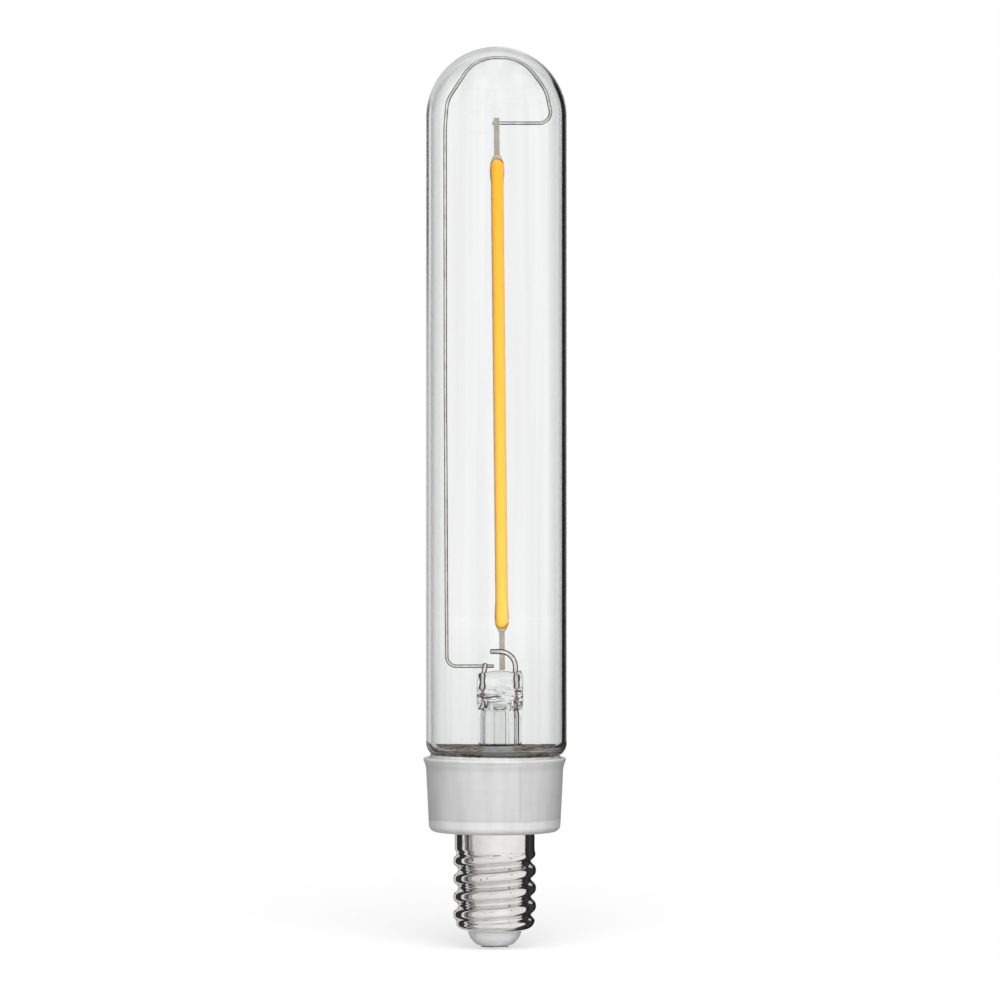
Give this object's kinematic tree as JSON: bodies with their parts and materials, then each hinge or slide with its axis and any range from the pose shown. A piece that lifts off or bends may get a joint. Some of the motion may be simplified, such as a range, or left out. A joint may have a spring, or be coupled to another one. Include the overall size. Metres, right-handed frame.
{
  "type": "tubular filament light bulb",
  "caption": "Clear tubular LED filament lamp with a candelabra screw cap, a milky plastic collar, a glass stem and one long amber filament on wire leads.",
  "frame": {"origin": "centre of the underside of the centre contact", "axes": "+Z along the lamp from the cap to the dome, +X across the plane of the glass mount towards the hooked lead, -Y towards the viewer"},
  "size_m": [0.0204, 0.0202, 0.128],
  "materials": {
    "clear_glass": "clear drawn glass tube",
    "stem_glass": "clear pressed glass with small seeds",
    "nickel_plate": "bright nickel plate on rolled brass",
    "milky_plastic": "translucent milky moulding",
    "insulator_plastic": "pale translucent insulator",
    "contact_metal": "tinned contact",
    "cement": "mottled brown and grey bedding cement",
    "lead_nickel": "bright drawn nickel wire",
    "seal_copper": "red copper-clad seal wire",
    "tinned_copper": "tinned copper wire",
    "filament_silicone": "amber phosphor silicone",
    "strip_ceramic": "white ceramic strip",
    "chip_crystal": "pale blue chips",
    "tab_steel": "plated steel strip",
    "board_laminate": "white masked laminate",
    "black_moulding": "black moulded package",
    "capacitor_sleeve": "dark sleeve",
    "resistor_coat": "flameproof coat",
    "solder": "bright solder"
  },
  "bodies": {
    "root": {"glass_envelope": "clear_glass", "glass_stem": "stem_glass", "exhaust_tube": "stem_glass", "screw_shell": "nickel_plate", "centre_contact": "contact_metal", "insulator": "insulator_plastic", "collar": "milky_plastic", "bedding_cement": "cement", "lead_left": "lead_nickel", "lead_right": "lead_nickel", "return_wire": "lead_nickel", "seal_wire_left": "seal_copper", "seal_wire_right": "seal_copper", "outer_lead_left": "tinned_copper", "outer_lead_right": "tinned_copper", "shell_wire": "tinned_copper", "filament_strip": "strip_ceramic", "led_chips": "chip_crystal", "filament_coat": "filament_silicone", "filament_tab_top": "tab_steel", "filament_tab_bottom": "tab_steel", "driver_board": "board_laminate", "bridge_rectifier": "black_moulding", "driver_chip": "black_moulding", "smoothing_capacitor": "capacitor_sleeve", "fusible_resistor": "resistor_coat", "solder_joints": "solder"}
  },
  "joints": []
}
